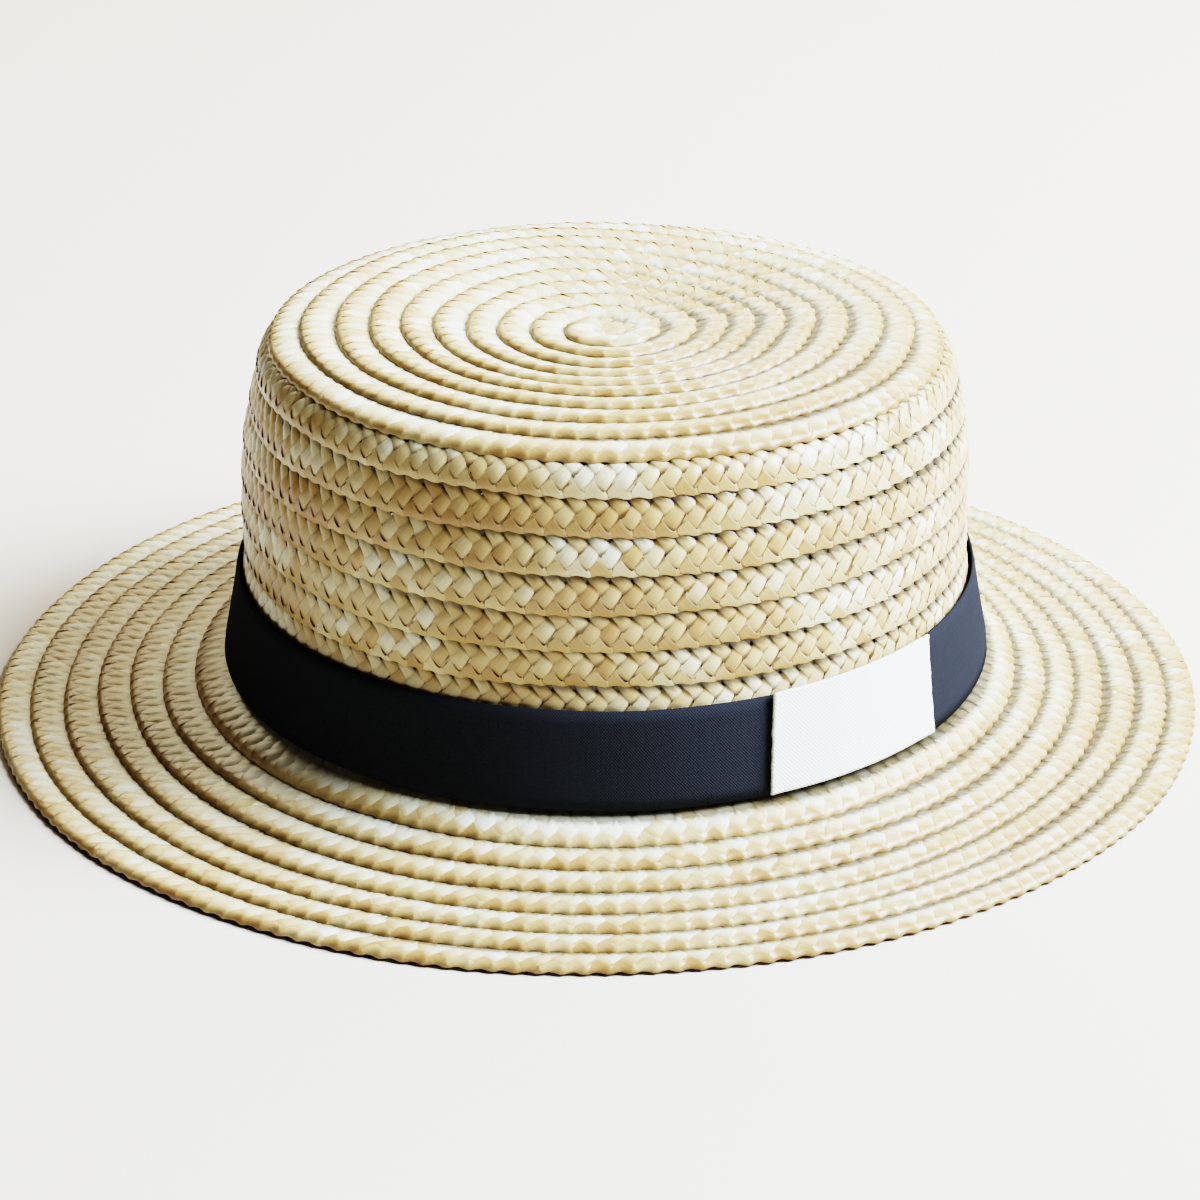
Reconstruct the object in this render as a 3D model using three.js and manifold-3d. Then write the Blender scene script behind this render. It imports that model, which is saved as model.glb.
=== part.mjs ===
// Wide brim boater hat, sewn from straw braid, with a ribbon band and a canvas tab.
// Millimetres, +Z up. The origin is on the surface that the hat stands on, under the middle
// of the brim. The front of the hat faces -Y.

import * as THREE from 'three';
import { mergeVertices } from 'three/addons/utils/BufferGeometryUtils.js';
import Module from 'manifold-3d';

// Driving dimensions
const facets = 36; // flats round the hat
const lengthOverWidth = 1.09; // front to back over side to side, of the crown
const crownShift = 2.2; // the crown sits this far to the right of the brim's middle
const clearance = 0.3; // gap that neighbouring pieces keep

// Heights of a braid row's faces over its sewing line, along the line's normal
const braid = {
  tuck: 0.25, // where the row comes out from under the row before it
  crest: 1.3, // the full middle of the row
  lip: 1.1, // the free edge, which lies over the next row
  backOfLip: -1.1, // underside of the free edge
  backOfTuck: -1.9, // underside of the tucked edge
  overlap: 2.4, // how far the tucked edge reaches under the row before it
};

// The sewing line of each zone: half the hat's width and the height, from the middle of the
// tip outwards. Every zone holds a whole number of braid rows.
const tipZone = {
  rows: 10,
  stations: [
    { place: 'centre', halfWidth: 0, height: 89.6 },
    { place: 'dish', halfWidth: 24, height: 90.5 },
    { place: 'crest', halfWidth: 52, height: 92 },
    { place: 'turn', halfWidth: 70, height: 91.3 },
    { place: 'edge', halfWidth: 78.8, height: 88.9 },
  ],
};
const sideZone = {
  rows: 9,
  stations: [
    { place: 'shoulder', halfWidth: 79.2, height: 88.5 },
    { place: 'upper', halfWidth: 83.2, height: 78.5 },
    { place: 'middle', halfWidth: 85.2, height: 64 },
    { place: 'lower', halfWidth: 86, height: 49 },
    { place: 'waist', halfWidth: 86.3, height: 34.5 },
    { place: 'foot', halfWidth: 90.2, height: 12.7 },
  ],
};
const brimZone = {
  rows: 7,
  stations: [
    { place: 'break', halfWidth: 91.2, height: 11.4 },
    { place: 'flare', halfWidth: 98.5, height: 8.2 },
    { place: 'slope', halfWidth: 106, height: 6 },
    { place: 'flat', halfWidth: 120, height: 3.6 },
    { place: 'rim', halfWidth: 144.4, height: 1.9 },
  ],
};

// The brim's collar stands inside the foot of the crown, where the two are sewn together.
const collar = { height: 7, wall: 1.6 };
const rim = { halfWidth: 145, edgeHeight: 1.1, bevel: 0.7, restWidth: 5 };

const ribbon = { top: 34.4, bottom: 12.6, wall: 0.8, sections: 4 };
const tab = { fromDeg: -64, toDeg: -31.5, wall: 0.7, rise: 0.5, reach: 200 };

const colours = { straw: 0xdcc48e, ribbon: 0x15171c, canvas: 0xe9e6dc };

// Half the length, front to back, of the oval that is halfWidth across
const crownHalfWidth = sideZone.stations.at(-1).halfWidth;
function halfLength(halfWidth) {
  const stretched = Math.min(halfWidth, crownHalfWidth) * (lengthOverWidth - 1);
  return halfWidth + stretched;
}

// How far to the right an oval of the hat is centred: all of it up to the foot of the crown,
// and less and less out to the rim
function shift(halfWidth) {
  return crownShift * (1 - THREE.MathUtils.smoothstep(halfWidth, crownHalfWidth, rim.halfWidth));
}

function sewingLine(zone) {
  const points = zone.stations.map((s) => new THREE.Vector2(s.halfWidth, s.height));
  return new THREE.SplineCurve(points);
}

// The point that lies lift away from a line, at a distance along it
function offLine(line, distance, lift) {
  const t = THREE.MathUtils.clamp(distance / line.getLength(), 0, 1);
  const tangent = line.getTangentAt(t);
  const normal = new THREE.Vector2(-tangent.y, tangent.x);
  return line.getPointAt(t).addScaledVector(normal, lift);
}

// The outer face of a zone's rows, which lap like shingles from the middle of the tip outwards
function rowFaces(zone) {
  const line = sewingLine(zone);
  const pitch = line.getLength() / zone.rows;
  const face = [];
  for (let row = 0; row < zone.rows; row += 1) {
    face.push(offLine(line, row * pitch, braid.tuck));
    face.push(offLine(line, (row + 0.5) * pitch, braid.crest));
    face.push(offLine(line, (row + 1) * pitch, braid.lip));
  }
  return face;
}

// The inner face of the same rows: each tucked edge laps over the row before it
function rowBacks(zone) {
  const line = sewingLine(zone);
  const pitch = line.getLength() / zone.rows;
  const back = [];
  for (let row = 0; row < zone.rows; row += 1) {
    back.push(offLine(line, row * pitch - braid.overlap, braid.backOfTuck));
    back.push(offLine(line, (row + 1) * pitch - braid.overlap, braid.backOfLip));
  }
  return back;
}

// A closed ring or cap: the section, which runs down its outside and up its inside, is turned
// about Z, then stretched into the hat's oval
function ovalLathe(section) {
  const geometry = new THREE.LatheGeometry(section.toReversed(), facets);
  geometry.rotateX(Math.PI / 2);
  const position = geometry.attributes.position;
  for (let i = 0; i < position.count; i += 1) {
    const halfWidth = Math.hypot(position.getX(i), position.getY(i));
    if (halfWidth > 0) {
      position.setY(i, (position.getY(i) * halfLength(halfWidth)) / halfWidth);
    }
    position.setX(i, position.getX(i) + shift(halfWidth));
  }
  geometry.computeVertexNormals();
  return geometry;
}

// Tip and side wall, one sewn shell that is open below
function crownSection() {
  const tipLine = sewingLine(tipZone);
  const sideLine = sewingLine(sideZone);
  const outerTop = new THREE.Vector2(0, tipLine.getPointAt(0).y + braid.crest);
  const innerTop = new THREE.Vector2(0, tipLine.getPointAt(0).y + braid.backOfTuck);
  const outside = [outerTop, ...rowFaces(tipZone).slice(1), ...rowFaces(sideZone)];
  const footEdge = offLine(sideLine, sideLine.getLength(), braid.backOfLip);
  const inside = [...rowBacks(tipZone).slice(1), ...rowBacks(sideZone).slice(1), footEdge];
  return [...outside, ...inside.reverse(), innerTop];
}

// Collar, rows and rim of the brim, a ring that closes on itself
function brimSection() {
  const sideLine = sewingLine(sideZone);
  const brimLine = sewingLine(brimZone);
  const foot = sideLine.getLength();
  const collarFace = braid.backOfTuck - clearance;
  const collarBack = collarFace - collar.wall;
  const outside = [
    offLine(sideLine, foot - collar.height, collarBack),
    offLine(sideLine, foot - collar.height, collarFace),
    offLine(sideLine, foot - braid.overlap, collarFace),
    offLine(sideLine, foot, collarFace).add(new THREE.Vector2(0, -clearance)),
    ...rowFaces(brimZone).slice(0, -1),
  ];
  const rimEdge = [
    new THREE.Vector2(rim.halfWidth - rim.bevel, brimLine.getPointAt(1).y + braid.lip),
    new THREE.Vector2(rim.halfWidth, rim.edgeHeight),
    new THREE.Vector2(rim.halfWidth - rim.bevel, 0),
    new THREE.Vector2(rim.halfWidth - rim.bevel - rim.restWidth, 0),
  ];
  const inside = rowBacks(brimZone).slice(1, -1).reverse();
  const turn = offLine(sideLine, foot, collarBack).add(new THREE.Vector2(0, collarFace));
  return [...outside, ...rimEdge, ...inside, turn, outside[0].clone()];
}

// Ring of ribbon between two distances from the crown's sewing line
function ribbonSection(near, far, bottom, top) {
  const sideLine = sewingLine(sideZone);
  const wall = (lift) => {
    const face = [];
    for (let i = 0; i <= ribbon.sections; i += 1) {
      const height = THREE.MathUtils.lerp(bottom, top, i / ribbon.sections);
      face.push(new THREE.Vector2(halfWidthAt(sideLine, height) + lift, height));
    }
    return face;
  };
  const inner = wall(near);
  const outer = wall(far);
  return [...outer.reverse(), ...inner, outer[0].clone()];
}

// Half width of a line that falls steadily, at a height
function halfWidthAt(line, height) {
  let low = 0;
  let high = 1;
  for (let halving = 0; halving < 30; halving += 1) {
    const middle = (low + high) / 2;
    if (line.getPoint(middle).y > height) low = middle;
    else high = middle;
  }
  return line.getPoint(low).x;
}

const wasm = await Module();
wasm.setup();

function toSolid(geometry) {
  const bare = geometry.clone();
  bare.deleteAttribute('normal');
  bare.deleteAttribute('uv');
  const merged = mergeVertices(bare, 1e-3);
  return new wasm.Manifold(new wasm.Mesh({
    numProp: 3,
    vertProperties: merged.attributes.position.array,
    triVerts: new Uint32Array(merged.index.array),
  }));
}

function toGeometry(solid) {
  const mesh = solid.getMesh();
  const geometry = new THREE.BufferGeometry();
  geometry.setAttribute('position', new THREE.BufferAttribute(mesh.vertProperties, 3));
  geometry.setIndex(new THREE.BufferAttribute(mesh.triVerts, 1));
  geometry.computeVertexNormals();
  return geometry;
}

// The upright prism between two directions from the hat's middle
function wedge({ fromDeg, toDeg, reach }) {
  const shape = new THREE.Shape();
  const from = THREE.MathUtils.degToRad(fromDeg);
  const to = THREE.MathUtils.degToRad(toDeg);
  shape.moveTo(0, 0);
  shape.lineTo(reach * Math.cos(from), reach * Math.sin(from));
  shape.lineTo(reach * Math.cos(to), reach * Math.sin(to));
  return new THREE.ExtrudeGeometry(shape, { depth: reach, bevelEnabled: false });
}

// The piece of canvas that lies over the ribbon's joint, cut out of a ring round the ribbon
function tabGeometry() {
  const near = ribbonLift + ribbon.wall + clearance;
  const ring = ovalLathe(
    ribbonSection(near, near + tab.wall, ribbon.bottom, ribbon.top + tab.rise),
  );
  return toGeometry(toSolid(ring).intersect(toSolid(wedge(tab))));
}

function material(color, roughness) {
  return new THREE.MeshStandardMaterial({ color, roughness, metalness: 0 });
}

function piece(name, geometry, finish) {
  const mesh = new THREE.Mesh(geometry, finish);
  mesh.name = name;
  return mesh;
}

const strawFinish = material(colours.straw, 0.45);
const ribbonFinish = material(colours.ribbon, 0.85);
const canvasFinish = material(colours.canvas, 0.9);

const ribbonLift = braid.crest + clearance;
const ribbonRing = ribbonSection(ribbonLift, ribbonLift + ribbon.wall, ribbon.bottom, ribbon.top);

const hat = new THREE.Group();
hat.add(piece('crown', ovalLathe(crownSection()), strawFinish));
hat.add(piece('brim', ovalLathe(brimSection()), strawFinish));
hat.add(piece('ribbon_band', ovalLathe(ribbonRing), ribbonFinish));
hat.add(piece('ribbon_tab', tabGeometry(), canvasFinish));

export default hat;
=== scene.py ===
import bpy
import bmesh
import math
import numpy as np
from mathutils import Matrix, Vector, noise


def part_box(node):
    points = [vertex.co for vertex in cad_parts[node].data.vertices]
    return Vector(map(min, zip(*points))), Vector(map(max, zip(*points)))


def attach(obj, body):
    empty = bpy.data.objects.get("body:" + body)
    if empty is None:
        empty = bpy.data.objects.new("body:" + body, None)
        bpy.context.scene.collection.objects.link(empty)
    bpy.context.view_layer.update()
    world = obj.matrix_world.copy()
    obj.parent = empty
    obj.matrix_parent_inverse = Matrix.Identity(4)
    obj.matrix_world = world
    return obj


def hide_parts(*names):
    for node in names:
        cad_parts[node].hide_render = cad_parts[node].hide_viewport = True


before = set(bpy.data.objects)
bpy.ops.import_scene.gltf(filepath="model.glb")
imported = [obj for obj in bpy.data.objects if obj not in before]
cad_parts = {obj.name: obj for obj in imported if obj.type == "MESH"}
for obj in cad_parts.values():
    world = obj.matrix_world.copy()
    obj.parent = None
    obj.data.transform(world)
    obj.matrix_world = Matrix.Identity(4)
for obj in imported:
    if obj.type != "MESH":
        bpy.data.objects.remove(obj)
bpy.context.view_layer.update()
mm = 0.001
tau = 2 * math.pi
tiny = 0.01  # millimetres; closer than this counts as touching
random = np.random.default_rng(7)
print("frame loaded:", ", ".join(sorted(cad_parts)))

# The hat's oval, the same as in its solids. Lengths are in millimetres as far as the studio.
hat = {
    "lengthOverWidth": 1.09,
    "crownShift": 2.2,  # the crown stands this far to the right of the brim's middle
    "footHalfWidth": 90.2,
    "rimHalfWidth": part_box("brim")[1][0] / mm,
    "joinFrom": 62.0,  # between these directions, at the back, a row runs on into the next
    "joinTo": 118.0,
    "lean": -0.012,  # the top of the crown rises by this much of the way to the left
    "leanHeights": (30, 90),  # between which the lean grows
    "skew": 1.4,  # and it bulges this far to the right
    "skewHeights": (50, 80),
    "skewRadii": (0, 80),
    "warp": 0.8,  # the brim lifts a little at the back left
    "warpTowards": 135.0,
    "warpRadii": (95, 140),
    "floorGap": 0.05,  # no straw reaches lower than this
}

# Straw braid: four straws that cross from edge to edge and fold back
braid = {
    "straws": 4,
    "period": 18.8,  # braid length in which a straw crosses over and comes back
    "samples": 26,  # rings of points in that length
    "reach": 5.78,  # from the plait's middle to the middle of a straw at its fold
    "offset": 1.68,  # the plait's middle lies this far outside of the braid's
    "straight": 0.7,  # share of the crossing that is straight, before the outer fold rounds off
    "innerRound": 0.05,  # share of it in which the inner fold rounds off
    "edge": 7.25,  # the outer fold lies flat against this line
    "edgeSoftness": 0.3,
    "scallop": 0.55,  # the line draws in by this much between two folds
    "weave": 0.32,  # a straw passes this far over and under the others
    "underAt": 1.3,  # and is under once it lies this share of that below its highest
    "seam": (3.0, 4.5),  # outside of this the seam presses the straws flat and hollow
    "calmPart": (1.0, -0.8),  # inside of this a rolled row is calm: less woven, wider and flatter
    "calmWeave": 0.6,
    "calmWidth": 0.25,
    "calmSwell": 0.7,
    "narrowPart": (1.8, -0.2),  # and here the straws of an open row are narrower
    "unevenPhase": (0.022, 7.0),  # unevenness: its size, and the length in which it changes
    "unevenPlace": (0.22, 5.0),
    "unevenWidth": (0.08, 14.0),
    "unevenSwell": (0.25, 6.0),
    "wander": 0.16,  # unevenness of the sewing
    "wanderCycles": (2.3, 5.2, 9.7),  # in a turn
}

# A row's cross section: a shingle that climbs from under the row before it and bends down at its edge
roll = {
    "tucked": -1.0,
    "crest": 0.45,
    "climb": 6.4,  # width in which the row comes up from under the one before it
    "climbPower": 0.75,
    "lap": 0.1,  # a row starts to climb this far under the edge of the one before it
    "tipStart": 1.2,  # no row of its own zone lies over a zone's first one, so that is raised
    "zoneStart": 0.9,
    "halfSpan": 12.0,  # the section is worked out this far to both sides
    "sectionSteps": 481,
    "stepsPerTurn": 500,
    "measuredAt": 2.0,  # the braid's length is taken this far outside of its middle
    "startTail": 0.6,  # a braid's ends taper in these shares of a join
    "endTail": 0.35,
    "endBefore": 0.05,
    "tailIn": 3.5,  # and are pulled in and down
    "tailDown": 1.2,
    "tailPower": 3,  # the dark strip fades faster than the end does
    "evenTurns": (6, 1),  # from the first of these in to the second the tip becomes an even spiral
    "squeezeWithin": 8.3,  # and this near to its middle a row's inner half is narrowed
    "squeezeOffset": 0.3,
    "squeezeLeast": 0.05,
}

# Rows of the tip and the brim are rolled over at their outer edge
rolledRow = {
    "relief": 1.0,
    "bendFrom": 6.0,  # across the braid, where its edge bends down
    "bendTo": 7.6,
    "spread": 1.15,  # the braid is pulled this much wider
    "calm": 1.0,  # and its inner part lies flat
    "notch": 1.0,  # its outer edge has notches
    "pressed": 0.5,  # share of the weave that the seam presses out
    "seamWidth": 0.07,  # straws are that much wider in the seam
    "innerNarrow": 0.0,  # and that much narrower inside of it
    "rim": 0.6,  # how far a straw's edge stands up where the seam presses it
    "puff": 0.64,  # how much the straws swell and weave
    "strawHalfWidth": 2.06,
    # the tip and brim get a paler tone than the side wall: painted light on rows that face up
    "tone": 0.77,
    "facetToneAndShade": -0.56,  # a straw's outer fold is that much browner: partly its own tone, partly painted shade where the fold faces down
    "gape": 1.65,  # width of the strip of painted shade that shows between two rows
    "edgeFade": 0.3,  # the painted shade strip runs on this far between the straws
    "gap": 0.8,  # how dark the painted shade lines between straws are
    "under": 0.5,  # how dark the painted shade at the ends of straws is
}

# Rows of the side wall lie open, so all of their plait shows
openRow = {
    "relief": 0.6,
    "bendFrom": 5.0,
    "bendTo": 6.9,
    "spread": 1.0,
    "calm": 0.0,
    "notch": 0.0,
    "pressed": 0.1,
    "seamWidth": -0.05,
    "innerNarrow": 0.13,
    "rim": 0.55,
    "puff": 0.78,
    "strawHalfWidth": 1.95,
    # darker than on the tip and brim: painted shade on the upright wall
    "tone": 0.44,
    "facetToneAndShade": -0.2,
    "gape": 0.9,
    "edgeFade": 1.9,
    "gap": 1.0,
    "under": 1.0,
}

# Zones of the hat: the sewing line from the inside outwards as (half width, height)
zones = {
    "tip": {
        **rolledRow,
        "rows": 10,
        "pitch": 7.9,
        "bend": 74.0,  # degrees
        "stations": [(0, 89.6), (24, 90.5), (52, 92.0), (70, 91.3), (78.8, 88.9)],
    },
    "side": {
        **openRow,
        "rows": 9,
        "pitch": 8.56,
        "bend": 16.0,
        "stations": [
            (74.0, 87.9), (78.0, 87.7), (80.4, 84.9), (81.7, 81.0), (82.9, 75.6), (85.2, 64.0),
            (86.0, 49.0), (86.3, 34.5), (90.06, 13.5),
        ],
    },
    "brim": {
        **rolledRow,
        "rows": 7,
        "pitch": 7.65,
        "bend": 72.0,
        "stations": [
            (86.0, 18.0), (86.9, 13.6), (91.2, 11.2), (98.5, 8.2), (106.0, 6.0),
            (120.0, 3.4), (145.1, 1.6),
        ],
    },
}


def smooth(x):
    x = np.clip(x, 0, 1)
    return x * x * (3 - 2 * x)


# Runs smoothly from 0 at the start to 1 at the end, which may lie below the start
def blend(x, start, end):
    return smooth((x - start) / (end - start))


def mix(a, b, share):
    return a + (b - a) * share


def unit(vectors):
    return vectors / np.maximum(np.linalg.norm(vectors, axis=-1, keepdims=True), 1e-9)


def lengthAlong(points):
    return np.concatenate([[0], np.cumsum(np.linalg.norm(np.diff(points, axis=0), axis=1))])


# One value every so many millimetres, with straight runs between
def drift(distance, size, spacing):
    knots = np.arange(distance.min() - spacing, distance.max() + 2 * spacing, spacing)
    return size * np.interp(distance, knots, random.uniform(-1, 1, len(knots)))


def halfLength(halfWidth):
    stretched = np.minimum(halfWidth, hat["footHalfWidth"])
    return halfWidth + stretched * (hat["lengthOverWidth"] - 1)


def shiftAt(halfWidth):
    return hat["crownShift"] * blend(halfWidth, hat["rimHalfWidth"], hat["footHalfWidth"])


# Smooth line through the stations, with its length, and a straight run past each end
def sewingLine(stations, steps=60, run=15.0):
    p = np.array(stations, float)
    q = np.vstack([p[:1], p, p[-1:]])
    t = np.linspace(0, 1, steps, endpoint=False)[:, None]
    spans = []
    for before, a, b, after in zip(q, q[1:], q[2:], q[3:]):
        out, back = (b - before) / 2, (after - a) / 2
        cubic = 2 * a - 2 * b + out + back
        square = 3 * b - 3 * a - 2 * out - back
        spans.append(cubic * t**3 + square * t**2 + out * t + a)
    points = np.vstack(spans + [p[-1:]])
    start = points[0] - run * unit(points[1] - points[0])
    end = points[-1] + run * unit(points[-1] - points[-2])
    length = lengthAlong(points)
    at = np.concatenate([[-run], length, [length[-1] + run]])
    points = np.vstack([start, points, end])
    slope = unit(np.gradient(points, at, axis=0))
    return {"at": at, "points": points, "slope": slope, "length": length[-1]}


# The place on the hat at a distance along a sewing line, lifted off it, in a direction from the middle
def place(line, at, lift, angle):
    r, z = (np.interp(at, line["at"], line["points"][:, i]) for i in (0, 1))
    outwards, upwards = (np.interp(at, line["at"], line["slope"][:, i]) for i in (0, 1))
    r = r - upwards * lift
    z = z + outwards * lift
    toRight = np.maximum(np.cos(angle), 0) ** 2
    bulge = hat["skew"] * blend(z, *hat["skewHeights"]) * toRight * blend(r, *hat["skewRadii"])
    x = r * np.cos(angle) + shiftAt(r) + bulge
    y = halfLength(r) * np.sin(angle)
    toBackLeft = np.maximum(np.cos(angle - math.radians(hat["warpTowards"])), 0) ** 2
    lean = hat["lean"] * x * blend(z, *hat["leanHeights"])
    warp = hat["warp"] * toBackLeft * blend(r, *hat["warpRadii"])
    return np.stack([x, y, z + lean + warp], -1)


# A row's section, along the flat braid: how far out it reaches, how far it drops, and its tilt
def rowSection(zone):
    across = np.linspace(-roll["halfSpan"], roll["halfSpan"], roll["sectionSteps"])
    tilt = math.radians(zone["bend"]) * blend(across, zone["bendFrom"], zone["bendTo"])
    step = across[1] - across[0]
    reach = across[0] + np.concatenate([[0], np.cumsum(np.cos(tilt[:-1]) * step)])
    drop = np.concatenate([[0], np.cumsum(np.sin(tilt[:-1]) * step)])
    return {"across": across, "reach": reach, "drop": drop, "tilt": tilt}


# A crease in the tip towards the right, where the rows turn a corner
crease = {
    "towards": 10.0,  # degrees
    "depth": 2.0,
    "halfAngle": 0.42,  # radians
    "startRows": (1, 3),  # it grows from the first of these to the second
    "endRows": (9, 7),  # and from the rim inwards in the same way
}


def creaseAt(angle, row):
    away = np.abs((angle - math.radians(crease["towards"]) + math.pi) % tau - math.pi)
    deep = crease["depth"] * np.clip(1 - away / crease["halfAngle"], 0, 1)
    return deep * blend(row, *crease["startRows"]) * blend(row, *crease["endRows"])


# The turns of one zone's braid, as the direction and the place of the braid's middle
def wind(zone):
    line = sewingLine(zone["stations"])
    section = rowSection(zone)
    edgeAt = np.interp(braid["edge"] * zone["spread"], section["across"], section["reach"])
    rows, pitch = zone["rows"], zone["pitch"]
    join = (hat["joinTo"] - hat["joinFrom"]) / 360  # in turns
    isTip = zone["stations"][0][0] == 0
    first = 0.0 if isTip else -join
    last = rows - roll["endBefore"] * join
    turn = np.linspace(first, last, roll["stepsPerTurn"] * rows)
    whole = np.floor(turn)
    row = whole + blend(turn - whole, 1 - join, 1)
    if isTip:
        row = mix(row, turn, blend(turn, *roll["evenTurns"]))
    row = np.clip(row, 0, rows - 1)
    # distance from the row before, in rows; the braid's own start does not count as one
    spacing = np.where(turn < first + 1 + join, 1, row - np.interp(turn - 1, turn, row))
    angle = math.radians(hat["joinTo"]) + tau * turn
    tail = blend(turn, last, last - roll["endTail"] * join)
    if not isTip:
        tail = tail * blend(turn, first, first + roll["startTail"] * join)
    outer = line["length"] - (rows - 1 - row) * pitch
    for cycles in braid["wanderCycles"]:
        outer = outer + braid["wander"] * np.sin(cycles * angle + random.uniform(0, tau))
    if isTip:
        outer = outer + creaseAt(angle, row)
    middle = outer - edgeAt - roll["tailIn"] * (1 - tail)
    measured = place(line, middle + roll["measuredAt"], 0.0, angle)
    return {
        "zone": zone, "isTip": isTip, "line": line, "section": section,
        "length": lengthAlong(measured),
        "angle": angle, "row": row, "middle": middle, "tail": tail,
        "opening": edgeAt - pitch * spacing - roll["lap"],  # where the row before it ends
    }


# Over (1) and under (-1): a straw lies over at the outer crossings, under at the middle one, then
# swaps. It stays over as far as the outer fold.
passes = {
    "at": np.array([0, 3, 6, 9, 12.4, 15, 18, 21, 24]) / 24,  # of a period
    "side": np.array([0, 1, -0.3, 1, 0.75, -0.25, 1, -0.3, 0]),
}


def passing(phase):
    at, side = passes["at"], passes["side"]
    part = phase % 1
    final = len(at) - 2
    i = np.clip(np.searchsorted(at, part, side="right") - 1, 0, final)
    t = (part - at[i]) / (at[i + 1] - at[i])
    eased = (1 - np.cos(math.pi * t)) / 2
    # the fold at the inner edge passes straight through
    eased = np.where(i == 0, np.sin(math.pi / 2 * t), eased)
    eased = np.where(i == final, 1 - np.cos(math.pi / 2 * t), eased)
    return mix(side[i], side[i + 1], eased)


# How far a row stands off the sewing line, before it bends down
def rowLift(reach, opening, winding, row):
    rise = np.clip((reach - opening) / roll["climb"], 0, 1) ** roll["climbPower"]
    raised = roll["tipStart"] if winding["isTip"] else roll["zoneStart"]
    tucked = roll["tucked"] + raised * (1 - smooth(row))
    return winding["zone"]["relief"] * mix(tucked, roll["crest"], rise)


# 1 half way between two outer folds, 0 at each fold
def betweenFolds(along):
    return 0.5 - 0.5 * np.cos(tau * along * braid["straws"] / braid["period"])


# One straw across: its shoulders lie between its middle and its edges
strawShape = {
    "face": 0.5,  # swell, outwards and inwards
    "back": 0.36,
    "shoulder": 0.62,  # of its half width
    "shoulderSwell": 0.76,  # of its face
    "hollow": 0.15,  # the same where the seam presses it
    "hollowShoulder": 0.4,
}
strawEdges = np.array([0, -1, 0, 0, 0, 1])  # round a ring: -1 at the hidden edge, 1 at the raised one


# One straw of the flat plait: along the braid, across it, and out of its plane
def plaitStraw(length, number, zone):
    step = braid["period"] / braid["samples"]
    at = np.arange(int(length / step)) * step
    phase = at / braid["period"] + number / braid["straws"] + drift(at, *braid["unevenPhase"])
    crossing = np.hypot(1 - np.abs(2 * (phase % 1) - 1), braid["innerRound"])  # 1 at the outer fold
    turning = np.maximum(crossing - braid["straight"], 0)
    steep = 2 * braid["reach"] / (0.5 + braid["straight"] / 2)
    across = steep * (crossing - turning**2 / (2 - 2 * braid["straight"])) - braid["reach"]
    across = across + braid["offset"] + drift(at, *braid["unevenPlace"])
    over = passing(phase)
    seam = blend(across, *braid["seam"])
    calm = zone["calm"] * blend(across, *braid["calmPart"])
    woven = 1 - braid["calmWeave"] * calm
    height = braid["weave"] * over * (1 - zone["pressed"] * seam) * woven

    along = unit(np.stack([np.ones(len(at)), np.gradient(across, at), np.gradient(height, at)], 1))
    edgewise = unit(np.stack([along[:, 1], -along[:, 0], np.zeros(len(at))], 1))
    facing = np.cross(edgewise, along)
    centre = np.stack([at, across, height], 1)
    wide = zone["strawHalfWidth"] * (1 + drift(at, *braid["unevenWidth"]))
    wide = wide * (1 + braid["calmWidth"] * calm + zone["seamWidth"] * seam)
    wide = wide * (1 - zone["innerNarrow"] * blend(across, *braid["narrowPart"]))
    face = strawShape["face"] * (1 + drift(at, *braid["unevenSwell"])) * (1 - braid["calmSwell"] * calm)
    back = -strawShape["back"] * np.ones(len(at))
    shoulder, full = strawShape["shoulder"], strawShape["shoulderSwell"] * face
    hollow, hollowShoulder = strawShape["hollow"] * face, strawShape["hollowShoulder"] * face
    outline = [  # across the straw, its swell, and its swell where the seam presses it hollow
        (0, back, back),
        (-1, 0 * face, 0 * face),
        (-shoulder, full, hollow),
        (0, face, hollow),
        (shoulder, full, hollowShoulder),
        (1, 0 * face, zone["rim"] * face),
    ]
    rings = []
    for x, free, pressed in outline:
        swell = mix(free, pressed, seam)
        rings.append(centre + edgewise * (x * wide)[:, None] + facing * swell[:, None])
    rings = np.stack(rings, 1)
    # the outer folds keep to a gently scalloped edge
    edge = braid["edge"] - braid["scallop"] * betweenFolds(rings[..., 0])
    soft = braid["edgeSoftness"]
    rings[..., 1] = edge - soft * np.logaddexp(0, (edge - rings[..., 1]) / soft)
    # share in which the straw lies under the others; it only sets the painted shade at its ends
    under = np.clip((1 - over) / braid["underAt"], 0, 1) * woven
    return {"at": at, "rings": rings, "under": under, "seam": seam}


# Painted shade in the dark lines between rows and straws, and the notches of a rolled edge. A pair is
# for the left and the right of the hat, where they stand apart most and the painted shade is darkest.
shade = {
    "towards": -0.3,  # direction in which the right one holds, in radians
    "fold": (0.2, 1.0),  # painted shade on a rolled edge
    "foldFrom": 0.35,  # it starts at this drop
    "foldOver": 0.9,  # and is full after this much more
    "foldSwell": 0.4,  # a straw's swell keeps it back by this share
    "notch": (0.3, 0.9),  # between two folds of a rolled edge
    "notchFrom": 4.2,  # across the braid
    "notchTo": 7.0,
    "notchDown": 0.32,
    "notchPower": 3,
    "gape": (0.25, 1.0),  # width of the painted shade strip that shows between two rows
    "foot": (0.3, 1.0),  # how dark that painted shade is
    "fade": 0.3,  # width in which it fades
    "fadeShare": (0.4, 1.0),
    "leastFade": 0.15,
    "dots": 0.15,  # it is lighter between the folds
    "gap": (0.2, 1.0),  # painted shade lines between straws
    "under": (0.55, 1.0),  # painted shade at the ends of straws
}
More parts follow.
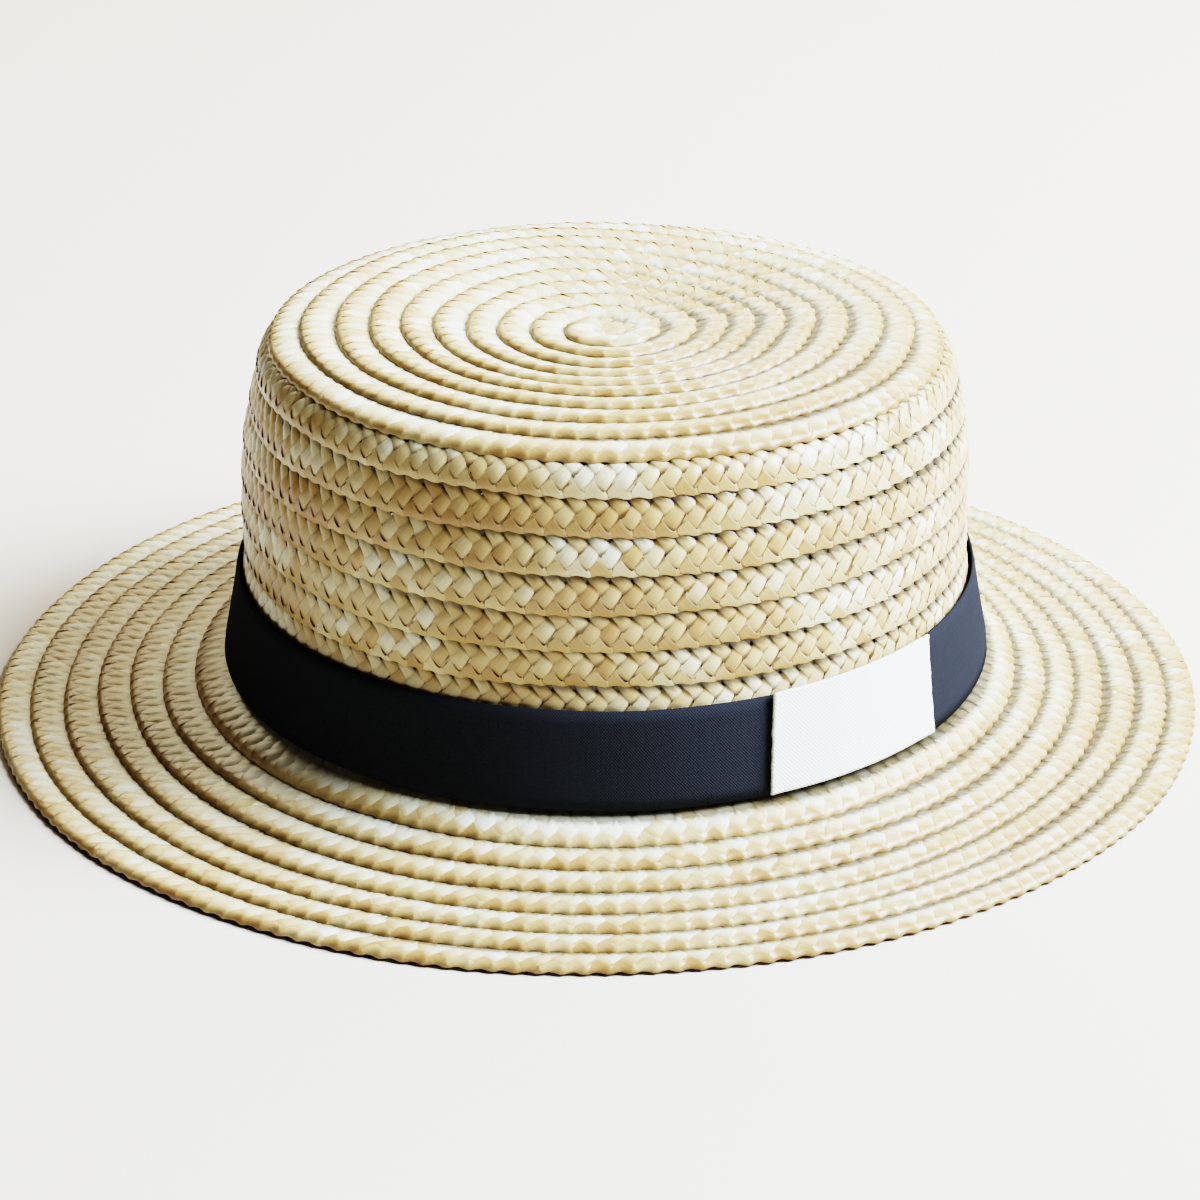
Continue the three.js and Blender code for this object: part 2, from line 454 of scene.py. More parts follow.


# The flat plait's points, sewn round the hat, with the painted shade in its folds and at its foot
def sew(winding, rings):
    zone, section = winding["zone"], winding["section"]
    along = rings[..., 0]
    angle, middle, row, tail, opening = (
        np.interp(along, winding["length"], winding[key])
        for key in ("angle", "middle", "row", "tail", "opening")
    )
    across = rings[..., 1] * zone["spread"] * (0.5 + 0.5 * tail)
    reach, drop, tilt = (
        np.interp(across, section["across"], section[key]) for key in ("reach", "drop", "tilt")
    )
    swell = rings[..., 2] * zone["puff"]
    gaping = 0.5 + 0.5 * np.cos(angle - shade["towards"])  # 1 where rows and straws stand apart most, on the right, the side of the key light, where the painted shade is darkest
    # where the edge is rolled over, it has a notch between every two folds
    notch = zone["notch"] * mix(*shade["notch"], gaping) * betweenFolds(along)
    notch = notch * blend(across, shade["notchFrom"], shade["notchTo"])
    lift = rowLift(reach, opening, winding, row) - drop
    lift = lift - roll["tailDown"] * (1 - tail) - shade["notchDown"] * notch
    # painted shade on the rolled edge: darker as the edge bends down, and in its notches
    folded = drop + notch ** shade["notchPower"] - shade["foldFrom"] - shade["foldSwell"] * swell
    depth = np.clip(folded / shade["foldOver"], 0, 1) * mix(*shade["fold"], gaping)
    # painted shade in the strip beside the edge of the row before it, which runs on between the straws
    fade = np.where(strawEdges, zone["edgeFade"], shade["fade"])
    fade = fade * mix(*shade["fadeShare"], gaping) + shade["leastFade"]
    gape = zone["gape"] * mix(*shade["gape"], gaping**2)
    beside = np.maximum(reach - opening - gape, 0) / fade
    dots = np.maximum(1 - 2 * betweenFolds(along), 0)
    foot = np.exp(-beside**2) * (1 - shade["dots"] * gaping * (1 - dots))
    foot = foot * mix(*shade["foot"], gaping) * tail ** roll["tailPower"]
    if winding["isTip"]:
        inwards = (middle + roll["squeezeOffset"]) / roll["squeezeWithin"]
        inwards = np.clip(inwards, roll["squeezeLeast"], 1)
        reach = np.where(reach < 0, reach * inwards, reach)
    reach = reach - braid["scallop"] * notch
    out = middle + reach + swell * np.sin(tilt)
    points = place(winding["line"], out, lift + swell * np.cos(tilt), angle)
    points[..., 2] = np.maximum(points[..., 2], hat["floorGap"])
    return points, depth, foot, gaping[:, 0]


# Straw colours: every straw keeps a tone for a while, and short patches of the braid are bleached
toning = {
    "step": 2.35,
    "pastEnd": 40,
    "sharedSlow": (0.1, 40.0),  # changes that all straws share: their size and length
    "sharedFast": (0.12, 9.4),
    "own": (0.26, 25.0),
    "fold": (0.08, 4.7),
    "bleachedEvery": 48,  # one patch in this length
    "bleachedReach": (2.5, 6),
    "bleachedEnd": 2.5,  # a patch ends this many reaches from its middle
    "bleachedShare": 0.6,  # of the straws in a patch
    "bleachedTone": (0.72, 0.95),
}


def pickTones(length, base):
    at = np.arange(0, length + toning["pastEnd"], toning["step"])
    shared = drift(at, *toning["sharedSlow"]) + drift(at, *toning["sharedFast"])
    tone = np.stack([base + shared + drift(at, *toning["own"]) for i in range(braid["straws"])], 1)
    for patch in random.uniform(0, length, int(length / toning["bleachedEvery"])):
        reach = random.uniform(*toning["bleachedReach"])
        inside = np.clip(toning["bleachedEnd"] - np.abs(at - patch) / reach, 0, 1)
        for i in np.flatnonzero(random.random(braid["straws"]) < toning["bleachedShare"]):
            tone[:, i] += (random.uniform(*toning["bleachedTone"]) - tone[:, i]) * inside
    return {"at": at, "tone": tone}


def layStraw(winding, number, tones):
    zone = winding["zone"]
    course = plaitStraw(winding["length"][-1], number, zone)
    at = course.pop("at")
    course["rings"], course["depth"], course["foot"], gaping = sew(winding, course["rings"])
    tone = np.interp(at, tones["at"], tones["tone"][:, number]) + drift(at, *toning["fold"])
    # the fold's browner tone is partly its own and partly painted shade; the painted shade lines between
    # straws and at their ends are darkest on the right
    course["tone"] = tone + zone["facetToneAndShade"] * course["seam"]
    course["gap"] = zone["gap"] * mix(*shade["gap"], gaping)
    course["under"] = course["under"] * zone["under"] * mix(*shade["under"], gaping)
    return course


# A few straws woven flat in the middle of the tip, where the braid starts
braidStart = {
    "straws": 3,  # each way
    "reach": 6.2,
    "samples": 26,
    "pitch": 3.4,
    "weave": 0.2,
    "sunk": 0.1,  # below the sewing line
    "outline": [(0, -0.3), (-1.8, 0), (-1.1, 0.2), (0, 0.28), (1.1, 0.2), (1.8, 0)],
    "turned": (0.6, 0.8),  # cosine and sine
    "tones": (0.4, 0.7),
    # painted shade in the lines between these straws
    "gap": 0.75,
}


def layMiddle(winding):
    at = np.linspace(-braidStart["reach"], braidStart["reach"], braidStart["samples"])
    none = np.zeros(len(at))
    height = winding["line"]["points"][1, 1] - braidStart["sunk"]
    cosine, sine = braidStart["turned"]
    straws = []
    for number in range(2 * braidStart["straws"]):
        lengthwise = number < braidStart["straws"]
        side = (number % braidStart["straws"] - braidStart["straws"] // 2) * braidStart["pitch"]
        over = braidStart["weave"] * np.cos(math.pi * (at / braidStart["pitch"] + number))
        over = over if lengthwise else -over
        rings = []
        for x, rise in braidStart["outline"]:
            along, across = (at, side + x + none) if lengthwise else (side - x + none, at)
            right = cosine * along - sine * across + hat["crownShift"]
            rings.append(np.stack([right, sine * along + cosine * across, height + over + rise], -1))
        rings = np.stack(rings, 1)
        straws.append({
            "rings": rings, "depth": np.zeros(rings.shape[:2]), "foot": np.zeros(rings.shape[:2]),
            "under": none, "seam": none, "gap": none + braidStart["gap"],
            "tone": none + random.uniform(*braidStart["tones"]),
        })
    return straws


# Joined mesh of many straws. Every straw is a closed tube, and its two ends are flat.
def meshFromStraws(name, straws):
    count = len(strawEdges)
    points, quads, caps, laneAt = [], [], [], []
    # the straw's tone, and the masks of its painted shade and painted highlight
    layers = {key: [] for key in ("tone", "under", "edge", "seam", "depth", "foot")}
    base = 0
    for straw in straws:
        n = len(straw["rings"])
        points.append(straw["rings"].reshape(-1, 3))
        j, k = np.meshgrid(np.arange(n - 1), np.arange(count), indexing="ij")
        here, there, after = j * count, (j + 1) * count, (k + 1) % count
        corners = np.stack([here + k, there + k, there + after, here + after], -1)
        quads.append(base + corners.reshape(-1, 4))
        laneAt.append(np.stack([j, k], -1).reshape(-1, 2))
        caps.append(base + np.arange(count))
        caps.append(base + (n - 1) * count + np.arange(count)[::-1])
        for key in ("tone", "under", "seam"):  # one value for a ring
            layers[key].append(np.repeat(straw[key], count))
        for key in ("depth", "foot"):  # one for a point
            layers[key].append(straw[key].ravel())
        # lines between straws: painted shade at both edges, and the raised edge also takes the painted
        # highlight
        layers["edge"].append(np.outer(straw["gap"], strawEdges).ravel())
        base += n * count
    quads = np.concatenate(quads)
    corners = np.concatenate([quads.ravel(), np.concatenate(caps)])
    capStarts = len(quads) * 4 + np.arange(len(caps)) * count
    starts = np.concatenate([np.arange(len(quads)) * 4, capStarts])
    points = np.concatenate(points) * mm
    mesh = bpy.data.meshes.new(name)
    mesh.vertices.add(len(points))
    mesh.vertices.foreach_set("co", points.ravel())
    mesh.loops.add(len(corners))
    mesh.loops.foreach_set("vertex_index", corners.astype(np.int32))
    mesh.polygons.add(len(starts))
    mesh.polygons.foreach_set("loop_start", starts.astype(np.int32))
    mesh.update(calc_edges=True)
    mesh.polygons.foreach_set("use_smooth", np.arange(len(starts)) < len(quads))
    ends = np.zeros(2 * len(mesh.edges), np.int32)
    mesh.edges.foreach_get("vertices", ends)
    a, b = ends[::2] % count, ends[1::2] % count
    crisp = mesh.attributes.new("sharp_edge", "BOOLEAN", "EDGE")  # both edges of every straw
    crisp.data.foreach_set("value", (a == b) & (strawEdges[a] != 0))
    for key, values in layers.items():
        layer = mesh.attributes.new(key, "FLOAT", "POINT")
        layer.data.foreach_set("value", np.concatenate(values).astype(np.float32))
    layUvs(mesh, laneAt, len(caps) * count)
    return linked(name, mesh)


# Two maps: "straw" runs along each straw in millimetres, "OFBake" lays the straws side by side in lanes
maps = {
    "strawOverBraid": 1.65,  # length of a straw over that of the braid
    "roundStep": 1.2,  # from point to point round a straw
    "strawApart": 31.7,  # keeps the straws' fibres different
    "laneShape": 6.1,  # rings in a lane for every lane, so that the map is about square
    "laneMargin": 0.04,
    "capSpot": (0.5, 0.995),  # in the lane that is left for the ends
}


def layUvs(mesh, laneAt, capCorners):
    count = len(strawEdges)
    total = sum(len(rows) // count for rows in laneAt)
    lanes = max(1, int(math.sqrt(total / maps["laneShape"])))
    perLane = math.ceil(total / lanes)
    step = braid["period"] / braid["samples"] * maps["strawOverBraid"]
    fibre, bake = [], []
    done = 0
    for number, rows in enumerate(laneAt):
        j, k = rows[:, 0], rows[:, 1]
        jj = np.stack([j, j + 1, j + 1, j], 1)
        kk = np.stack([k, k, k + 1, k + 1], 1)
        across = kk * maps["roundStep"] + number * maps["strawApart"]
        fibre.append(np.stack([jj * step, across], -1).reshape(-1, 2))
        lane, inLane = (done + j) // perLane, (done + j) % perLane
        u = (inLane[:, None] + np.array([0, 1, 1, 0])) / perLane
        inside = maps["laneMargin"] + (1 - 2 * maps["laneMargin"]) * kk / count
        v = (lane[:, None] + inside) / (lanes + 1)
        bake.append(np.stack([u, v], -1).reshape(-1, 2))
        done += len(rows) // count
    ends = np.tile([maps["capSpot"]], (capCorners, 1))
    for name, parts in (("straw", fibre), ("OFBake", bake)):
        values = np.concatenate(parts + [ends]).astype(np.float32)
        mesh.uv_layers.new(name=name).uv.foreach_set("vector", values.ravel())


def linked(name, data):
    thing = bpy.data.objects.new(name, data)
    bpy.context.collection.objects.link(thing)
    return thing


def finishMesh(bm, name):
    mesh = bpy.data.meshes.new(name)
    bm.to_mesh(mesh)
    bm.free()
    for face in mesh.polygons:
        face.use_smooth = True
    return linked(name, mesh)


# Ribbon band: woven tape drawn tight round the foot of the crown
band = {
    "bottom": 12.4,
    "top": 34.4,
    "lift": 1.55,  # its inner face, off the crown's sewing line
    "wall": 0.7,
    "softEdge": 0.2,  # its outer face is drawn in by this much along both edges
    "rows": 8,
    "steps": 240,
    "ripple": 0.22,
    "edgeRipple": 0.35,
    "edgeSeed": 4.0,
    "rippleTurns": 3.2,  # how fast ripples change round the band, and up it
    "rippleRise": 0.05,
    "lineFrom": 80,  # half width from which the crown's line falls steadily
}
crownLine = sewingLine(zones["side"]["stations"])


def crownHalfWidth(height):
    points = crownLine["points"]
    falling = points[points[:, 0] > band["lineFrom"]][::-1]
    return float(np.interp(height, falling[:, 1], falling[:, 0]))


def ripple(angle, height, size, seed=0.0):
    turns = band["rippleTurns"]
    spot = (turns * math.cos(angle), turns * math.sin(angle), band["rippleRise"] * height + seed)
    return size * noise.noise(Vector(spot))


def ovalPoint(halfWidth, angle, height):
    x = halfWidth * math.cos(angle) + float(shiftAt(halfWidth))
    return Vector((x, float(halfLength(halfWidth)) * math.sin(angle), height)) * mm


def makeBand():
    bm = bmesh.new()
    heights = np.linspace(band["bottom"], band["top"], band["rows"] + 1)
    inner = [(crownHalfWidth(z) + band["lift"], z) for z in heights]
    outer = [(r + band["wall"], z) for r, z in inner]
    for end in (0, -1):
        outer[end] = (outer[end][0] - band["softEdge"], outer[end][1])
    ring = [bm.verts.new((r, 0, z)) for r, z in outer + inner[::-1]]
    edges = [bm.edges.new((a, b)) for a, b in zip(ring, ring[1:] + ring[:1])]
    bmesh.ops.spin(
        bm, geom=ring + edges, cent=(0, 0, 0), axis=(0, 0, 1), angle=tau,
        steps=band["steps"], use_merge=True,
    )
    bmesh.ops.remove_doubles(bm, verts=bm.verts, dist=tiny)
    bmesh.ops.recalc_face_normals(bm, faces=bm.faces)
    layBandUvs(bm)
    for v in bm.verts:
        angle, r, height = math.atan2(v.co.y, v.co.x), math.hypot(v.co.x, v.co.y), v.co.z
        if min(height - band["bottom"], band["top"] - height) < tiny:  # on an edge
            height += ripple(angle, 0, band["edgeRipple"], band["edgeSeed"])
        v.co = ovalPoint(r + ripple(angle, height, band["ripple"]), angle, height)
    return finishMesh(bm, "ribbonBand")


# "weave" runs round the band and up it, in millimetres
def layBandUvs(bm):
    layer = bm.loops.layers.uv.new("weave")
    reach = band["bottom"] + hat["footHalfWidth"]
    for face in bm.faces:
        centre = face.calc_center_median()
        facing = math.atan2(centre.y, centre.x)
        for loop in face.loops:
            turn = math.atan2(loop.vert.co.y, loop.vert.co.x)
            turn += tau * round((facing - turn) / tau)
            loop[layer].uv = (turn * reach, loop.vert.co.z)


# Canvas tab: a torn strip of cream canvas, laid over the band's joint
tab = {
    "from": -66.6,  # directions of its two ends, half way up
    "to": -36.2,
    "slant": 1.5,  # both ends lean this far towards the right
    "rise": 0.9,  # how far its top stands over the band's top
    "short": 0.5,  # and its lower edge over the band's lower edge
    "lift": 0.25,
    "wall": 0.65,
    "along": 72,
    "up": 30,
    "fray": 0.18,
    "tears": (9, 31),  # how fast the torn ends change, in large and in small
    "tearSeeds": (5.0, 1.0),
    "endsApart": 3,  # keeps the two ends' tears different
    "smallTears": 0.6,
    "curl": 0.5,  # its ends stand off by this much, and that dies away in so much length
    "curlOver": 2.5,
    "ripple": 0.3,
    "dents": 0.12,
    "dentSpeed": (6, 4),  # along it and up it
    "dentSeed": 2.0,
    "overFoot": 2.0,  # it lies about this far outside of the crown's foot
    "overArc": 1.03,  # its length on the oval over that of a round arc
}


def tornAt(x, y):
    large, small = (
        noise.noise(Vector((speed * y, tab["endsApart"] * x, seed)))
        for speed, seed in zip(tab["tears"], tab["tearSeeds"])
    )
    return large + tab["smallTears"] * small


def makeTab():
    bm = bmesh.new()
    bmesh.ops.create_grid(bm, x_segments=tab["along"], y_segments=tab["up"], size=0.5)
    layer = bm.loops.layers.uv.new("weave")
    bottom, top = band["bottom"] + tab["short"], band["top"] + tab["rise"]
    length = math.radians(tab["to"] - tab["from"]) * hat["footHalfWidth"]
    for face in bm.faces:
        for loop in face.loops:
            spot = loop.vert.co
            loop[layer].uv = ((spot.x + 0.5) * length, (spot.y + 0.5) * (top - bottom))
    for v in bm.verts:
        x, y = v.co.x + 0.5, v.co.y + 0.5  # shares of its length and its height
        height = bottom + y * (top - bottom)
        angle = math.radians(mix(tab["from"], tab["to"], x) + tab["slant"] * (y - 0.5))
        nearEnd = min(x, 1 - x) * length
        if nearEnd < tiny:
            angle += tab["fray"] * tornAt(x, y) / hat["footHalfWidth"]
        onBand = min(max(height, band["bottom"]), band["top"])
        r = crownHalfWidth(onBand) + band["lift"] + band["wall"] + tab["lift"]
        r += tab["curl"] * math.exp(-nearEnd / tab["curlOver"])
        r += ripple(angle, height, tab["ripple"])
        dentAlong, dentUp = tab["dentSpeed"]
        r += tab["dents"] * noise.noise(Vector((dentAlong * x, dentUp * y, tab["dentSeed"])))
        v.co = ovalPoint(r, angle, height)
    bmesh.ops.recalc_face_normals(bm, faces=bm.faces)
    if sum(f.normal.dot(f.calc_center_median()) for f in bm.faces) < 0:
        bmesh.ops.reverse_faces(bm, faces=bm.faces)
    piece = finishMesh(bm, "canvasTab")
    shell = piece.modifiers.new("wall", "SOLIDIFY")
    shell.thickness = tab["wall"] * mm
    shell.offset = 1.0
    return piece


# Helpers for materials
def newMaterial(name):
    material = bpy.data.materials.new(name)
    material.use_nodes = True
    tree = material.node_tree
    return material, tree, tree.nodes["Principled BSDF"]


# Sets a number or a colour on a socket, or links another node's output to it
def feed(tree, socket, value):
    if isinstance(value, (float, int)):
        socket.default_value = value
    elif isinstance(value, tuple):
        socket.default_value = (*value, 1.0)
    else:
        tree.links.new(value, socket)


def ramp(tree, value, stops):
    node = tree.nodes.new("ShaderNodeValToRGB")
    elements = node.color_ramp.elements
    while len(elements) < len(stops):
        elements.new(0.5)
    for element, (at, colour) in zip(elements, stops):
        element.position = at
        element.color = (*colour, 1.0)
    tree.links.new(value, node.inputs["Fac"])
    return node.outputs["Color"]


def attribute(tree, name):
    node = tree.nodes.new("ShaderNodeAttribute")
    node.attribute_name = name
    return node.outputs["Fac"]


def mapped(tree, uvName, alongScale, acrossScale):
    uv = tree.nodes.new("ShaderNodeUVMap")
    uv.uv_map = uvName
    mapping = tree.nodes.new("ShaderNodeMapping")
    mapping.inputs["Scale"].default_value = (alongScale, acrossScale, 1.0)
    tree.links.new(uv.outputs["UV"], mapping.inputs["Vector"])
    return mapping.outputs["Vector"]


def noiseOf(tree, vector):
    node = tree.nodes.new("ShaderNodeTexNoise")
    node.inputs["Scale"].default_value = 1.0
    node.inputs["Detail"].default_value = 3.0
    tree.links.new(vector, node.inputs["Vector"])
    return node.outputs["Fac"]


def mixColours(tree, kind, amount, a, b):
    node = tree.nodes.new("ShaderNodeMix")
    node.data_type = "RGBA"
    node.blend_type = kind
    factor, first, second = node.inputs[0], node.inputs[6], node.inputs[7]
    feed(tree, factor, amount)
    feed(tree, first, a)
    feed(tree, second, b)
    return node.outputs[2]


def mathOf(tree, operation, a, b=0.0):
    node = tree.nodes.new("ShaderNodeMath")
    node.operation = operation
    feed(tree, node.inputs[0], a)
    feed(tree, node.inputs[1], b)
    return node.outputs[0]


def stepOf(tree, value, low, high):
    node = tree.nodes.new("ShaderNodeMapRange")
    node.interpolation_type = "SMOOTHSTEP"
    node.inputs["From Min"].default_value = low
    node.inputs["From Max"].default_value = high
    tree.links.new(value, node.inputs["Value"])
    return node.outputs["Result"]


def bumpOf(tree, shader, height, strength, distance):
    bump = tree.nodes.new("ShaderNodeBump")
    bump.inputs["Strength"].default_value = strength
    bump.inputs["Distance"].default_value = distance * mm
    tree.links.new(height, bump.inputs["Height"])
    tree.links.new(bump.outputs["Normal"], shader.inputs["Normal"])


# Straw, brown to bleached, with colours for painted shade and a painted highlight
strawLook = {
    "tones": [
        (0.0, (0.40, 0.25, 0.095)),
        (0.28, (0.50, 0.355, 0.155)),
        (0.52, (0.585, 0.46, 0.23)),
        (0.76, (0.67, 0.595, 0.365)),
        (1.0, (0.80, 0.79, 0.63)),
    ],
    "creviceShade": (0.20, 0.14, 0.06),  # painted shade between straws, at the ends of straws and on rolled edges
    "grooveShade": (0.045, 0.033, 0.013),  # painted shade in the groove between rows
    "rimHighlight": (0.93, 0.86, 0.66),  # painted highlight on raised edges in the seam
    "rimHighlightShare": 0.75,
    "rimHighlightPower": 3.0,
    "gapSteps": (0.3, 0.75),  # painted shade lines between straws start and are full here, 1 being the very edge
    "underSteps": (0.3, 0.62),  # painted shade at a straw's ends, 1 being the middle of an under pass
    "underShare": 0.9,
    "foldShare": 0.87,
    "foldPower": 1.5,
    "fibres": (0.035, 2.4),  # in a millimetre, along and across a straw
    "fibreTone": 0.35,
    "fibreBump": 0.25,
    "fibreDepth": 0.15,
    "roughness": 0.22,  # at its smoothest
    "fibreRoughness": 0.25,  # and added by the fibres
}


def strawMaterial():
    material, tree, shader = newMaterial("plaited straw")
    fibres = noiseOf(tree, mapped(tree, "straw", *strawLook["fibres"]))
    streaks = mathOf(tree, "MULTIPLY", mathOf(tree, "SUBTRACT", fibres, 0.5), strawLook["fibreTone"])
    colour = ramp(tree, mathOf(tree, "ADD", attribute(tree, "tone"), streaks), strawLook["tones"])

    edge, seam = attribute(tree, "edge"), attribute(tree, "seam")
    raised = mathOf(tree, "MAXIMUM", edge)
    hidden = mathOf(tree, "MAXIMUM", mathOf(tree, "MULTIPLY", edge, -1.0))
    # painted highlight on the raised edges that the seam presses up
    light = mathOf(tree, "POWER", raised, strawLook["rimHighlightPower"])
    light = mathOf(tree, "MULTIPLY", light, mathOf(tree, "MULTIPLY", seam, strawLook["rimHighlightShare"]))
    colour = mixColours(tree, "MIX", light, colour, strawLook["rimHighlight"])

    # painted shade: lines between straws, the ends of straws and rolled edges darken towards one colour
    gap = mathOf(tree, "MULTIPLY", raised, mathOf(tree, "SUBTRACT", 1.0, seam))
    gap = stepOf(tree, mathOf(tree, "ADD", gap, hidden), *strawLook["gapSteps"])
    under = stepOf(tree, attribute(tree, "under"), *strawLook["underSteps"])
    under = mathOf(tree, "MULTIPLY", under, strawLook["underShare"])
    fold = mathOf(tree, "POWER", attribute(tree, "depth"), strawLook["foldPower"])
    fold = mathOf(tree, "MULTIPLY", fold, strawLook["foldShare"])
    dark = mathOf(tree, "MAXIMUM", mathOf(tree, "MAXIMUM", gap, under), fold)
    colour = mixColours(tree, "MULTIPLY", dark, colour, strawLook["creviceShade"])
    # painted shade in the groove between rows
    colour = mixColours(tree, "MIX", attribute(tree, "foot"), colour, strawLook["grooveShade"])
    tree.links.new(colour, shader.inputs["Base Color"])

    rough = mathOf(tree, "MULTIPLY", fibres, strawLook["fibreRoughness"])
    rough = mathOf(tree, "ADD", rough, strawLook["roughness"])
    tree.links.new(rough, shader.inputs["Roughness"])
    bumpOf(tree, shader, fibres, strawLook["fibreBump"], strawLook["fibreDepth"])
    return material


# Cloth of the band and the tab. Threads are counted in a millimetre.
ribbonCloth = {
    "threads": 1.3, "dark": (0.024, 0.026, 0.031), "light": (0.042, 0.046, 0.055),
    "roughness": 0.9, "sheen": 0.0, "specular": 0.03, "relief": 0.3,
}
canvasCloth = {
    "threads": 1.1, "dark": (0.80, 0.81, 0.77), "light": (0.95, 0.96, 0.92),
    "roughness": 0.9, "sheen": 0.1, "specular": 0.2, "relief": 0.35,
}
slubs = {
    "along": 0.12,  # thick and thin places in the threads, in a millimetre
    "across": 1.9,
    "tone": 1.5,  # over that of the weave
    "contrast": 0.22,
    "depth": 0.2,
    "sheenRoughness": 0.6,
}


# Plain weave as a height: two sets of threads that take turns on top
def weaveHeight(tree, vector):
    split = tree.nodes.new("ShaderNodeSeparateXYZ")
    tree.links.new(vector, split.inputs["Vector"])
    waves = []
    for axis in ("X", "Y"):
        waves.append(mathOf(tree, "SINE", mathOf(tree, "MULTIPLY", split.outputs[axis], tau)))
    return mathOf(tree, "MULTIPLY", *waves)


def clothMaterial(name, cloth):
    material, tree, shader = newMaterial(name)
    weave = weaveHeight(tree, mapped(tree, "weave", cloth["threads"], cloth["threads"]))
    warp = noiseOf(tree, mapped(tree, "weave", slubs["along"], slubs["across"]))
    weft = noiseOf(tree, mapped(tree, "weave", slubs["across"], slubs["along"]))
    slub = mathOf(tree, "ADD", warp, weft)
    tone = mathOf(tree, "ADD", weave, mathOf(tree, "MULTIPLY", slub, slubs["tone"]))
    tone = mathOf(tree, "MULTIPLY", tone, slubs["contrast"])
    colour = mixColours(tree, "MIX", tone, cloth["dark"], cloth["light"])
    tree.links.new(colour, shader.inputs["Base Color"])
    shader.inputs["Roughness"].default_value = cloth["roughness"]
    shader.inputs["Sheen Weight"].default_value = cloth["sheen"]
    shader.inputs["Sheen Roughness"].default_value = slubs["sheenRoughness"]
    shader.inputs["Specular IOR Level"].default_value = cloth["specular"]
    bumpOf(tree, shader, mathOf(tree, "ADD", weave, slub), cloth["relief"], slubs["depth"])
    return material


# Gives a piece its finish in a material slot, ties it to its body, hides the solid it stands for, and
# returns its triangles, before any modifier
def dress(piece, finish, node):
    piece.data.materials.append(finish)
    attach(piece, "root")
    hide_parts(node)
    made = sum(len(f.vertices) - 2 for f in piece.data.polygons)
    print(piece.name, made, "triangles")
    return made


# Straw pieces, by zone. A zone with a lot of braid is cut in two half way along it.
pieceNames = {
    "tip": ["tipBraid"],
    "side": ["upperSideBraid", "lowerSideBraid"],
    "brim": ["innerBrimBraid", "outerBrimBraid"],
}
strawFinish = strawMaterial()
triangles = 0
for zoneName, zone in zones.items():
    winding = wind(zone)
    tones = pickTones(winding["length"][-1], zone["tone"])
    courses = [layStraw(winding, i, tones) for i in range(braid["straws"])]
    middleStraws = layMiddle(winding) if zoneName == "tip" else []
    names = pieceNames[zoneName]
    cuts = np.linspace(0, len(courses[0]["tone"]) - 1, len(names) + 1).astype(int)
    for name, a, b in zip(names, cuts, cuts[1:]):
        part = [{key: value[a:b + 1] for key, value in course.items()} for course in courses]
        piece = meshFromStraws(name, part + middleStraws)
        triangles += dress(piece, strawFinish, "brim" if zoneName == "brim" else "crown")
    print(zoneName, "braid", round(winding["length"][-1] * mm, 2), "m")

ribbonBand = makeBand()
triangles += dress(ribbonBand, clothMaterial("black tape", ribbonCloth), "ribbon_band")

canvasTab = makeTab()
triangles += dress(canvasTab, clothMaterial("cream canvas", canvasCloth), "ribbon_tab")
print("all pieces:", triangles, "triangles before modifiers")

# Studio, in metres: pale floor, one large soft light from the right and a little light from everywhere
studio = {
    "floorSize": 30.0,
    "floorColour": (0.78, 0.71, 0.60),
    "floorRoughness": 0.9,
    "sky": (1.0, 0.84, 0.62),
    "skyStrength": 0.03,
    "aim": (0, 0, 0.04),
}
lights = {
    "keyRight": {
        "place": (1.391, -0.122, 1.254), "size": (1.1, 1.1), "power": 143.0, "colour": (0.78, 0.86, 1.0),
    },
    "backRight": {
        "place": (1.05, 1.26, 1.19), "size": (1.2, 1.2), "power": 5.0, "colour": (1.0, 1.0, 0.97),
    },
    "backWall": {
        "place": (0.0, 1.94, 1.07), "size": (2.6, 0.9), "power": 28.0, "colour": (1.0, 0.88, 0.64),
    },
    "fillLeft": {
        "place": (-1.3, -1.2, 0.8), "size": (2.0, 1.4), "power": 0.6, "colour": (1.0, 0.82, 0.58),
    },
}


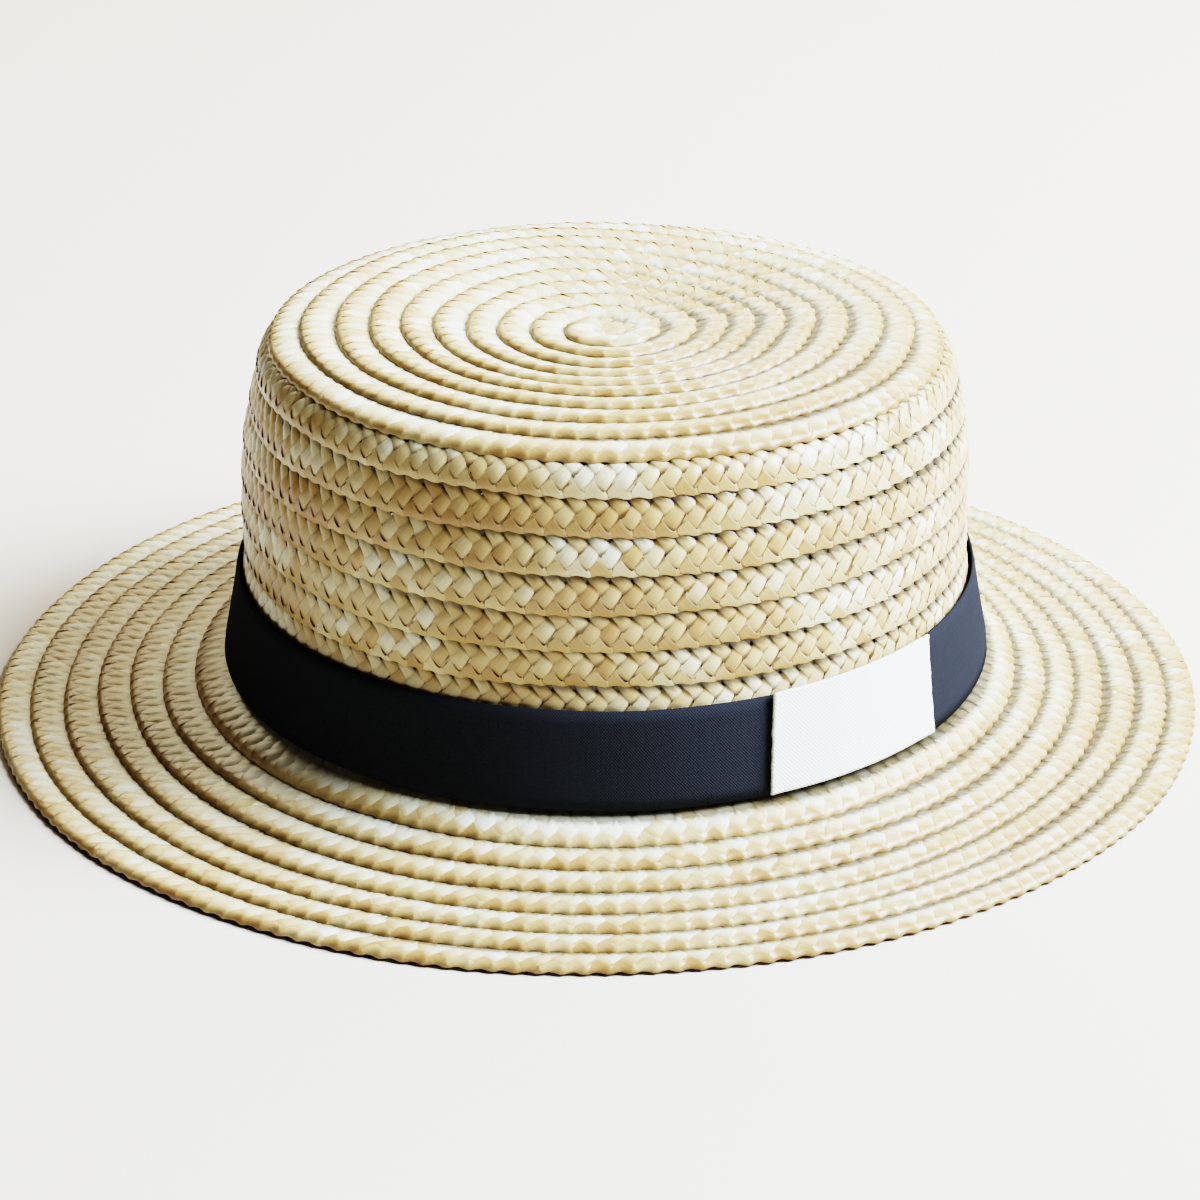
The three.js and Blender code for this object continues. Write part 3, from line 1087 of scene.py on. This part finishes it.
def makeFloor():
    bm = bmesh.new()
    bmesh.ops.create_grid(bm, x_segments=1, y_segments=1, size=studio["floorSize"] / 2)
    floor = finishMesh(bm, "studioFloor")
    material, tree, shader = newMaterial("pale floor")
    feed(tree, shader.inputs["Base Color"], studio["floorColour"])
    shader.inputs["Roughness"].default_value = studio["floorRoughness"]
    floor.data.materials.append(material)


def addLight(name, light):
    data = bpy.data.lights.new(name, "AREA")
    data.shape = "RECTANGLE"
    data.size, data.size_y = light["size"]
    data.energy = light["power"]
    data.color = light["colour"]
    lamp = linked(name, data)
    lamp.location = light["place"]
    aim = Vector(studio["aim"]) - Vector(light["place"])
    lamp.rotation_euler = aim.to_track_quat("-Z", "Y").to_euler()


def makeSky():
    world = bpy.data.worlds.new("studioSky")
    bpy.context.scene.world = world
    world.use_nodes = True
    background = world.node_tree.nodes["Background"]
    background.inputs["Color"].default_value = (*studio["sky"], 1.0)
    background.inputs["Strength"].default_value = studio["skyStrength"]


makeFloor()
for name, light in lights.items():
    addLight(name, light)
makeSky()
bpy.context.scene.view_settings.view_transform = "Filmic"
bpy.context.scene.view_settings.look = "Very High Contrast"
print("studio:", ", ".join(lights))

# Camera, fitted to the photograph's outline: pixels are of its 1200 by 1200 frame
view = {
    "distance": 0.91134,
    "elevation": 23.91,
    "focalPixels": 3722.5,
    "axisPixel": (596.8, 677.5),  # where the camera's axis meets the picture
    "roll": -0.38,
    "frame": 1200,
    "sensor": 36.0,
}


def makeCamera():
    data = bpy.data.cameras.new("photoCamera")
    data.sensor_width = view["sensor"]
    data.lens = view["focalPixels"] * view["sensor"] / view["frame"]
    data.shift_x = 0.5 - view["axisPixel"][0] / view["frame"]
    data.shift_y = view["axisPixel"][1] / view["frame"] - 0.5
    camera = linked("photoCamera", data)
    rise = math.radians(view["elevation"])
    spot = Vector((0, -math.cos(rise), math.sin(rise))) * view["distance"]
    aimed = (-spot).to_track_quat("-Z", "Y").to_matrix().to_4x4()
    rolled = Matrix.Rotation(math.radians(view["roll"]), 4, "Z")
    camera.matrix_world = Matrix.Translation(spot) @ aimed @ rolled
    bpy.context.scene.camera = camera


makeCamera()
print("camera at", view["distance"], "m")
